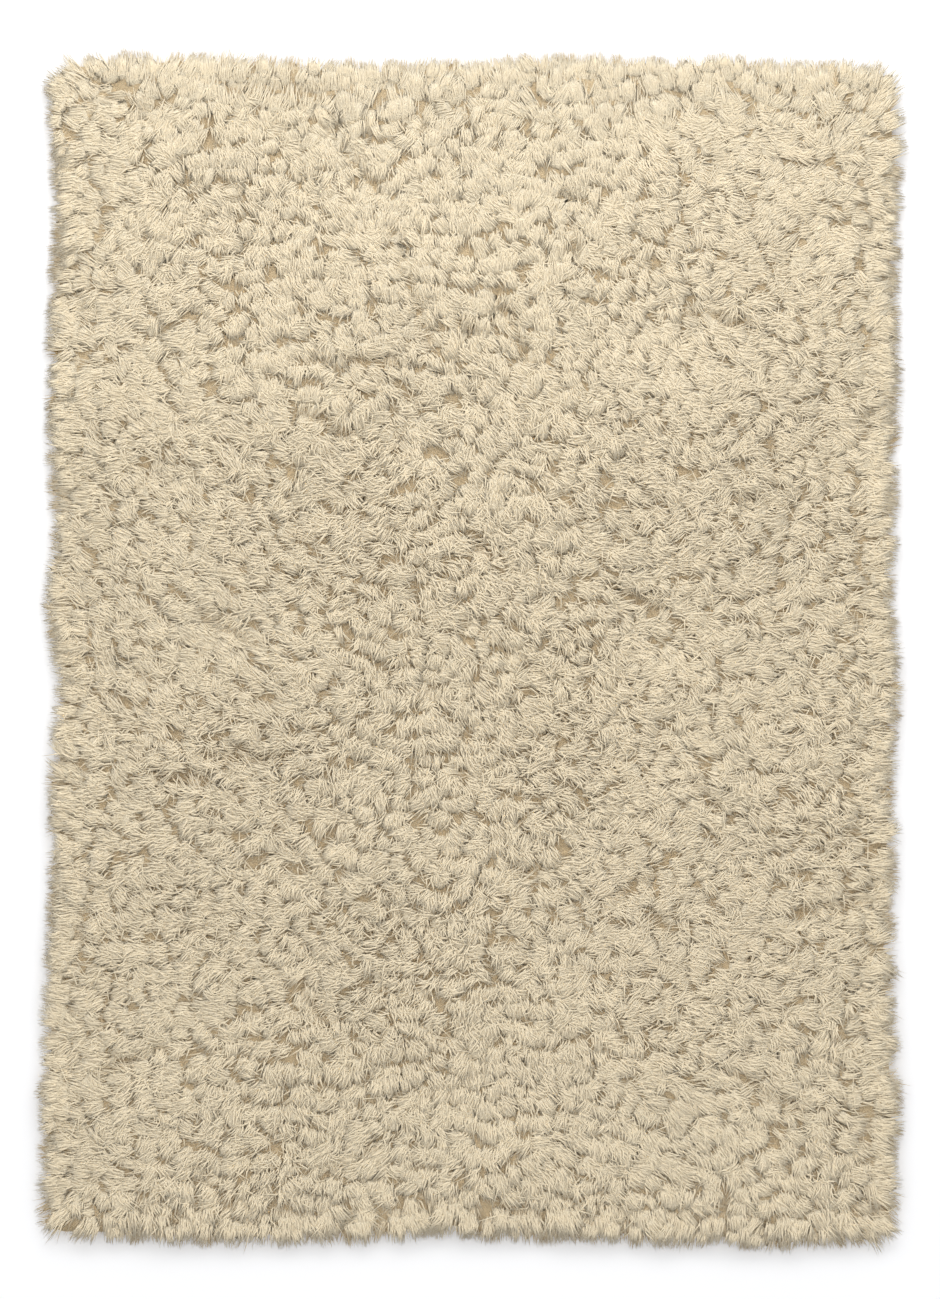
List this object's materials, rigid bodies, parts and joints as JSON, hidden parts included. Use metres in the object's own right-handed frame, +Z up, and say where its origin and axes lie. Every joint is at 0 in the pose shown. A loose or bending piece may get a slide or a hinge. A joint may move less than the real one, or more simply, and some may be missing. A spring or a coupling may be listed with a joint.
{
  "type": "shag rug",
  "caption": "Rectangular long-pile shag rug lying flat, its cut pile leaning in clumps and falling in soft locks over all sides.",
  "frame": {"origin": "on the floor under the middle of the rug's box", "axes": "+Z up, +Y along the rug's length, +X across its width"},
  "size_m": [1.5008, 2.0688, 0.0525],
  "materials": {
    "cream_pile": "matt cut pile yarn, cream"
  },
  "bodies": {
    "root": {"shag_rug": "cream_pile"}
  },
  "joints": []
}
